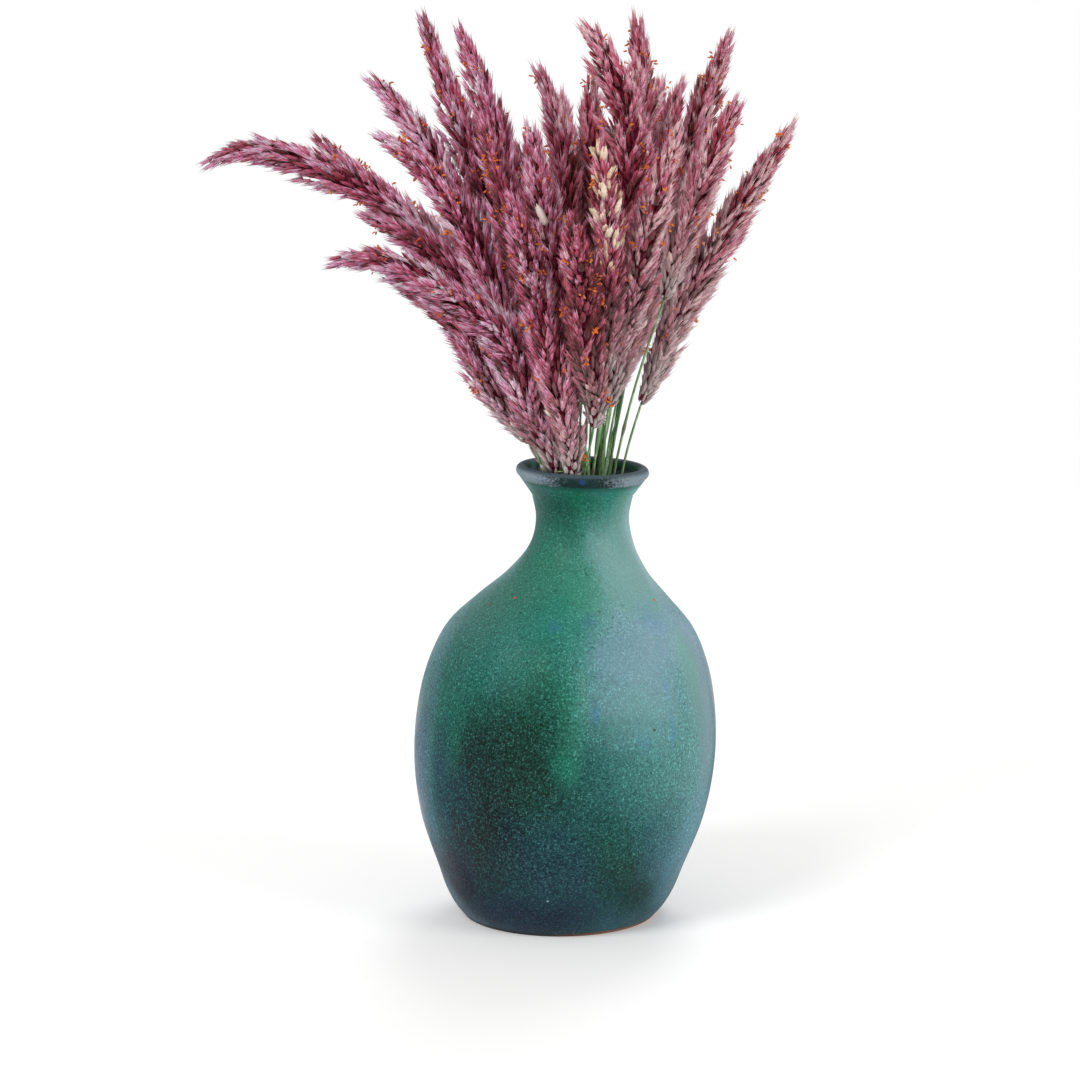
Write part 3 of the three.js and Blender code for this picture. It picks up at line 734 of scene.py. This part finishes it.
def drawn(shell):
    """What a shell holds: its corners, its faces, each with three corners, and their finishes."""
    shell.verts.index_update()
    corners = np.array([corner.co for corner in shell.verts])
    bmesh.ops.triangulate(shell, faces=shell.faces)
    faces = np.array([[corner.index for corner in face.verts] for face in shell.faces])
    finishes = np.array([face.material_index for face in shell.faces])
    shell.free()
    return corners, faces, finishes


def shape_of(shell, husk_corners=None):
    """A small shape to be repeated: its corners, its faces, and which corners are silk."""
    corners, faces, _ = drawn(shell)
    silk = np.zeros(len(corners))
    if husk_corners:
        silk[husk_corners:] = 1
    return corners, faces, silk


# The shapes that are repeated: four spikelets, each a husk with four hairs round it and a little
# more open than the last, then a fat kernel, two husks that stand open, and one bare husk.
draw = np.random.default_rng(7)
shapes = []
for opening in (0.10, 0.16, 0.24, 0.32):
    shell = bmesh.new()
    husk(shell, 0.85, 0.6, 0.85, 0.05, 0)
    husk_corners = len(shell.verts)
    for k in range(4):
        turn = math.tau * (k + draw.uniform(0, 0.7)) / 4
        ring = Vector((math.cos(turn), math.sin(turn), 0))
        foot = ring * 0.3 + Vector((0, 0, draw.uniform(0.05, 0.25)))
        tip = ring * draw.uniform(0.5, 1.1) * (0.25 + opening) + Vector((0, 0, draw.uniform(0.9, 1.25)))
        hair(shell, foot, tip, draw.uniform(0.17, 0.24))
    shapes.append(shape_of(shell, husk_corners))
HAIRY_KINDS = len(shapes)
KERNEL, PARTED, BARE = range(HAIRY_KINDS, HAIRY_KINDS + 3)
shell = bmesh.new()
husk(shell, 1.15, 0.95, 0.72, 0.06, 0, sides=5, rings=4)
husk(shell, 0.8, 0.5, 0.85, -0.22, 0.6)
shapes.append(shape_of(shell))
shell = bmesh.new()
husk(shell, 1.0, 0.5, 1.0, 0.24, 0)
husk(shell, 1.0, 0.5, 0.95, -0.28, 0.1)
shapes.append(shape_of(shell))
shell = bmesh.new()
husk(shell, 1.2, 0.8, 1.1, 0, 0)
shapes.append(shape_of(shell))

# An anther is a small bent pod on its thread.
shell = bmesh.new()
made = bmesh.ops.create_uvsphere(shell, u_segments=4, v_segments=4, radius=0.5)["verts"]
for corner in made:
    x, y, z = corner.co
    corner.co = Vector((x + 0.5 * z * z, y, 1.0 + z))
hair(shell, (0, 0, -0.9), (0.1, 0, 0.6), 0.12)
anther = shape_of(shell)


def unit(ways):
    return ways / np.linalg.norm(ways, axis=1)[:, None]


def planted(shape, feet, ways, outward, rolls, lengths, widths):
    """Copies of a shape, each stood on its foot, pointed its way, rolled and stretched."""
    corners, faces, _ = shape
    across = np.cross(ways, outward)
    across /= np.linalg.norm(across, axis=1)[:, None] + 1e-12
    out = np.cross(across, ways)
    cos, sin = np.cos(rolls)[:, None], np.sin(rolls)[:, None]
    across, out = across * cos + out * sin, out * cos - across * sin
    x, y, z = (corners[:, k][None, :, None] for k in range(3))
    wide, long = widths[:, None, None], lengths[:, None, None]
    placed = feet[:, None] + x * wide * across[:, None] + y * wide * out[:, None] + z * long * ways[:, None]
    shifted = faces[None] + (np.arange(len(feet)) * len(corners))[:, None, None]
    return placed.reshape(-1, 3), shifted.reshape(-1, 3)


class Spine:
    """The middle line of a head, read by the distance from its foot."""

    def __init__(self, line, reach):
        self.line = line
        self.ahead, self.across, self.behind = directions(line)
        self.marks = np.arange(len(line)) * MM
        self.length = self.marks[-1]
        self.reach = reach

    def at(self, table, place):
        return np.stack([np.interp(place, self.marks, table[:, k]) for k in range(3)], axis=-1)

    def outward(self, place, turn):
        """The way straight out of the line at each place, turned this far round it."""
        across = self.at(self.across, place) * np.cos(turn)[:, None]
        return across + self.at(self.behind, place) * np.sin(turn)[:, None]

    def full(self, place):
        """How far the head reaches from its middle line at each place."""
        share = np.clip(place / self.length, 0, 1)
        swell = np.maximum(np.sin(np.pi * share ** 0.82), 0) ** 0.45
        belly = 1 + MIDDLE_GAIN * np.exp(-((share - MIDDLE_AT) / MIDDLE_SPREAD) ** 2)
        taper = 1 - TAPER_LOSS * np.clip((share - TAPER_FROM) / (1 - TAPER_FROM), 0, 1) ** 1.2
        return self.reach * (FOOT_FULLNESS + (1 - FOOT_FULLNESS) * swell) * belly * taper


def side_branch(shell, spine, number, k, count, draw):
    """One side branch. Its twig is drawn into the shell, and its spikelets and anthers come back."""
    room = spine.length - BRANCH_SHORTEST - LAST_BRANCH_BELOW
    start = max(FIRST_BRANCH + room * (k + draw.uniform(-0.4, 0.4)) / count, 0)
    shorter = (BRANCH_SHORTEST - BRANCH_LONGEST) * start / spine.length
    long = (BRANCH_LONGEST + shorter) * draw.uniform(0.8, 1.15)
    long = min(long, spine.length - start - BRANCH_BELOW_TIP)
    turn = k * GOLDEN_TURN + draw.normal(0, 0.3)
    near, wider, widest = draw.uniform(0.82, 1.0), draw.uniform(1.0, 1.15), draw.uniform(1.15, 1.38)
    loose = draw.choice((near, wider, widest), p=(0.65, 0.2, 0.15))
    # A head's tone, with painted light on outer heads and painted shade on inner ones.
    shade = draw.uniform(0.12, 0.79) + TONE_AND_PAINTED_LIGHT.get(number, 0)

    # The branch's line, and the twig on it.
    n = max(5, int(long / SPIKELET_PITCH))
    t = (np.arange(n) + 0.5) / n
    place = start + long * t
    share = place / spine.length
    radial = spine.outward(place, turn + 0.2 * np.sin(3 * t + k))
    out = (0.32 + 0.56 * t ** 0.75) * loose
    if number == WIDE_HEAD:
        out *= 1 + WIDE_GAIN * np.clip(4 * share - 2, 0, 1) * np.clip(radial[:, 0], 0, 1)
    branch = spine.at(spine.line, place) + radial * (spine.full(place) * out)[:, None]
    heading = unit(np.gradient(branch, axis=0))
    twig = np.vstack([spine.at(spine.line, np.array([start]))[0], branch[:-1:5], branch[-1]])
    thin = np.full(len(twig), TWIG_RADIUS)
    drawn_tube(shell, twig, thin, thin, 3, material=STEM)

    # The spikelets stand to both sides of it and outwards, and the last one ends it.
    aside = np.cross(heading, radial)
    side = draw.uniform(-1, 1, n)
    side[-1] *= 0.2
    up = draw.uniform(0.16, 0.5, n)
    up[-1] = 0.3
    up *= 1 - 0.7 * np.clip((share - 0.72) / 0.28, 0, 1)
    way = unit(heading + radial * up[:, None] + aside * (0.35 * side)[:, None])
    big = draw.uniform(0.75, 1.2, n)
    big[-1] = 1.25
    big *= np.interp(share, [0, 0.15, 0.85, 1], [0.85, 1, 1, 0.85])
    spread = SPIKELET_SPREAD * side * np.sin(np.pi * np.clip(t, 0.15, 1) ** 0.8)
    feet = branch + aside * spread[:, None] - heading * SPIKELET_SUNK
    # Painted shade on the lower part of heads inside the bunch.
    painted_shade = np.interp(share, [0.3, 0.68], [LOWER_PAINTED_SHADE.get(number, 0), 0])
    tint = np.clip(shade - painted_shade + draw.normal(0, 0.16, n), 0, 0.9)
    kind = draw.integers(0, HAIRY_KINDS, n)
    kind = np.where(draw.random(n) < KERNEL_SHARE * (share < KERNELS_BELOW), KERNEL, kind)

    anthers = []
    if draw.random() < (ANTHERS_FEW if number in LEFT_HEADS else ANTHERS_MANY):
        spot = draw.integers(n // 3, n)
        for _ in range(draw.integers(2, 7)):
            hung = branch[spot] + radial[spot] * draw.uniform(0.2, 1.2) * MM + draw.normal(0, 0.9 * MM, 3)
            anthers.append((hung, radial[spot], heading[spot]))
    # The lift, how far out a spikelet stands, sets its painted shade in the husks' finish.
    return (feet, way, radial, big, tint, kind, np.clip(out / 0.8, 0, 1), share), anthers


def inner_spikelets(spine, crowding, draw):
    """The bare husks that stand close to the stem and fill the middle of a head."""
    n = int(spine.length / INNER_PITCH)
    place = np.linspace(0, spine.length * 0.9, n)
    share = place / spine.length
    radial = spine.outward(place, np.arange(n) * GOLDEN_TURN)
    way = unit(spine.at(spine.ahead, place) + radial * draw.uniform(0.15, 0.5, n)[:, None])
    crowded = np.interp(share, [0.02, 0.18], [crowding, 1])
    out = spine.full(place) * crowded * draw.uniform(0.35, 0.6, n)
    feet = spine.at(spine.line, place) + radial * out[:, None]
    big = np.interp(share, [0, 0.1, 0.75, 1], [0.9, 1.15, 1.1, 0.6])
    tint = draw.uniform(0, 0.6, n)
    # Close to the stem the lift is low, which the husks' finish turns into painted shade.
    lift = np.interp(share, [0, 0.8, 1], [0.4, 0.5, 1])
    return feet, way, radial, big, tint, np.full(n, BARE), lift, share


def caught_seed():
    """The bare white seed, as the one spikelet that it is among the others."""
    foot, tip = np.array([SEED_FOOT]) * MM, np.array([SEED_TIP]) * MM
    return foot, unit(tip - foot), [(0, -1, 0)], [1.5], [1], [BARE], [1], [0.6]


def head_finish(name, husk_shades, silk_shades, shadow, foot_colour):
    """The husks' finish: shades by spikelet, painted shade at feet and by the stem, pale low on the head.
    """
    skin = Finish(name, Specular_IOR_Level=0.35, Sheen_Weight=0.3, Sheen_Roughness=0.4)
    where = skin.place()
    tint = skin.read("tint")
    husks = skin.ramp(tint, *husk_shades)
    silk = skin.ramp(tint, *silk_shades)
    along = skin.read("along")
    silk = skin.mixed(skin.fade(along, 0.7, 0.1, 0, 0.8), silk, husks)
    colour = skin.mixed(skin.read("silk"), husks, silk)
    streak = skin.noise(where, 0.0009, 2)
    colour = skin.mixed(skin.fade(streak, 0.5, 0.3, 0, 0.35), colour, shadow)
    # Painted shade at the feet of the spikelets.
    colour = skin.mixed(skin.fade(along, 0.3, 0.0, 0, 0.6), colour, shadow)
    # Painted shade on the spikelets close to the stem, inside the head.
    colour = skin.mixed(skin.fade(skin.read("lift"), 0.65, 0.2, 0, 0.75), colour, shadow)
    rosier = skin.fade(skin.node("SeparateXYZ", {0: where}, "X"), -0.03, 0.02)
    colour = skin.mixed(rosier, colour, dye("fff0e6"), "MULTIPLY")
    colour = skin.mixed(skin.fade(skin.read("rise"), 0.45, 0.1, 0, 0.3), colour, foot_colour)
    colour = skin.mixed(skin.fade(skin.read("rise"), 0.14, 0.02, 0, 0.65), colour, foot_colour)
    return skin.done(Base_Color=colour, Roughness=0.5)


mauve_husks = head_finish(
    "mauve_husks",
    ((0, dye("5c141c")), (0.12, dye("781a2a")), (0.3, dye("b03854")), (0.6, dye("cb5c84")),
     (0.85, dye("da90b6")), (0.93, dye("e2c8cc")), (1, dye("f0e6de"))),
    ((0, dye("823a44")), (0.12, dye("b45672")), (0.3, dye("da8eb2")), (0.6, dye("e4b2ce")),
     (0.85, dye("ecd0e2")), (1, dye("f4e8ee"))),
    dye("3c060e"), dye("c9bfbc"),
)
cream_husks = head_finish(
    "cream_husks",
    ((0, dye("dac8b0")), (0.4, dye("ece2ce")), (1, dye("f8f4ea"))),
    ((0, dye("e4d8c6")), (0.5, dye("f2eade")), (1, dye("faf8f2"))),
    dye("8a5a4c"), dye("c8c6b4"),
)
pollen = Finish("orange_anthers")
rust = pollen.noise(pollen.place(), 0.003, 2)
orange = pollen.ramp(rust, (0.3, dye("8a3414")), (0.45, dye("d8661c")), (0.7, dye("f08c38")))
pollen_finish = pollen.done(Base_Color=orange, Roughness=0.6)
stem = Finish("head_stem")
fibre = stem.noise(stem.vector("MULTIPLY", stem.place(), (1500, 1500, 200)), 1, 2)
stem_colour = stem.ramp(fibre, (0.3, dye("2f3320")), (0.6, dye("5f6a45")), (0.8, dye("8b9070")))
stem_finish = stem.done(Base_Color=stem_colour, Roughness=0.6)
# The crowded feet's finish: dark burgundy painted shade, which fills the gaps deep between the branches.
inner = Finish("packed_feet_shade", Specular_IOR_Level=0.1)
mat = inner.noise(inner.vector("MULTIPLY", inner.place(), (900, 900, 300)), 1, 3)
core_shade_colour = inner.ramp(mat, (0.35, dye("30060e")), (0.5, dye("6c1c2e")), (0.68, dye("a04660")))
matted = inner.node("Bump", {"Height": mat, "Distance": 0.001, "Strength": 1.0})
core_shade_finish = inner.done(Base_Color=core_shade_colour, Roughness=0.9, Normal=matted)


def joined_mesh(name, parts):
    """One mesh of parts that each bring corners, faces, the faces' finishes and the corners' marks."""
    corners, faces, finishes, marks = map(list, zip(*parts))
    starts = np.cumsum([0] + [len(some) for some in corners])
    faces = np.vstack([some + start for some, start in zip(faces, starts)])
    mesh = bpy.data.meshes.new(name)
    mesh.vertices.add(starts[-1])
    mesh.vertices.foreach_set("co", np.vstack(corners).ravel())
    mesh.loops.add(faces.size)
    mesh.loops.foreach_set("vertex_index", faces.ravel())
    mesh.polygons.add(len(faces))
    mesh.polygons.foreach_set("loop_start", np.arange(0, faces.size, 3))
    mesh.polygons.foreach_set("material_index", np.concatenate(finishes))
    mesh.update(calc_edges=True)
    for mark, values in zip(MARKS, np.vstack(marks).T):
        mesh.attributes.new(mark, "FLOAT", "POINT").data.foreach_set("value", values.copy())
    return mesh


for number, (line, reach) in sprays.items():
    draw = np.random.default_rng(number)
    cream = number == CREAM_HEAD
    spine = Spine(line, reach * CREAM_REACH if cream else reach)

    # The stem, and round it the crowded feet of the side branches, as a dark tube in painted shade that
    # fills the middle of the head.
    shell = bmesh.new()
    rows = line[::4]
    slim = np.linspace(*STEM_RADII, len(rows))
    drawn_tube(shell, rows, slim, slim, 6, material=STEM)
    packed = spine.full(spine.marks[2:-6:3])
    packed = packed * draw.uniform(0.42, 0.56, len(packed))
    drawn_tube(shell, line[2:-6:3], packed, packed, 7, material=SHADE_CORE)

    crowd, anthers = [], []
    count = int((spine.length - BRANCH_SHORTEST) / BRANCH_PITCH)
    for k in range(count):
        spikelets, hung = side_branch(shell, spine, number, k, count, draw)
        crowd.append(spikelets)
        anthers += hung
    crowd.append(inner_spikelets(spine, CROWDED_GAIN if number in CROWDED_FEET else 1, draw))
    if number == SEEDED:
        crowd.append(caught_seed())
    feet, ways, outs, sizes, tints, kinds, lifts, rises = map(np.concatenate, zip(*crowd))
    if cream:
        parted = (rises > PARTED_FROM) & (lifts > 0.6) & (draw.random(len(rises)) < PARTED_SHARE)
        kinds[parted] = PARTED
        sizes[parted] *= 1.25
    fat = kinds == KERNEL
    tints[fat] = draw.uniform(0.91, 1, fat.sum())
    lengths = SPIKELET_LENGTH * sizes
    widths = SPIKELET_WIDTH * sizes * draw.uniform(0.8, 1.15, len(sizes))
    rolls = draw.normal(0, 0.6, len(sizes))
    if number in PALE_FEET:
        rises *= PALE_FEET_RISE

    corners, faces, finishes = drawn(shell)
    parts = [(corners, faces, finishes, np.zeros((len(corners), len(MARKS))))]
    for kind, shape in enumerate(shapes):
        some = kinds == kind
        corners, faces = planted(
            shape, feet[some], ways[some], outs[some], rolls[some], lengths[some], widths[some],
        )
        own = len(shape[0])
        marks = np.column_stack((
            np.repeat(tints[some], own), np.tile(shape[2], some.sum()),
            np.tile(shape[0][:, 2], some.sum()), np.repeat(lifts[some], own), np.repeat(rises[some], own),
        ))
        parts.append((corners, faces, np.full(len(faces), CREAM if kind == PARTED else HUSKS), marks))
    if anthers:
        places, outs, headings = (np.array(part) for part in zip(*anthers))
        n = len(places)
        ways = outs + headings * draw.uniform(-0.6, 0.6, n)[:, None] + draw.normal(0, 0.3, (n, 3))
        corners, faces = planted(
            anther, places, unit(ways), headings, draw.uniform(0, 6.3, n),
            draw.uniform(1.6, 2.6, n) * MM, draw.uniform(0.8, 1.2, n) * MM,
        )
        marks = np.zeros((len(corners), len(MARKS)))
        parts.append((corners, faces, np.full(len(faces), ANTHERS), marks))

    finishes = (mauve_husks, pollen_finish, stem_finish, core_shade_finish) + ((cream_husks,) if cream else ())
    head = piece(f"head_{number:02}", joined_mesh(f"head_{number:02}", parts), *finishes)
    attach(head, "root")
    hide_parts(f"plume_{number:02}")
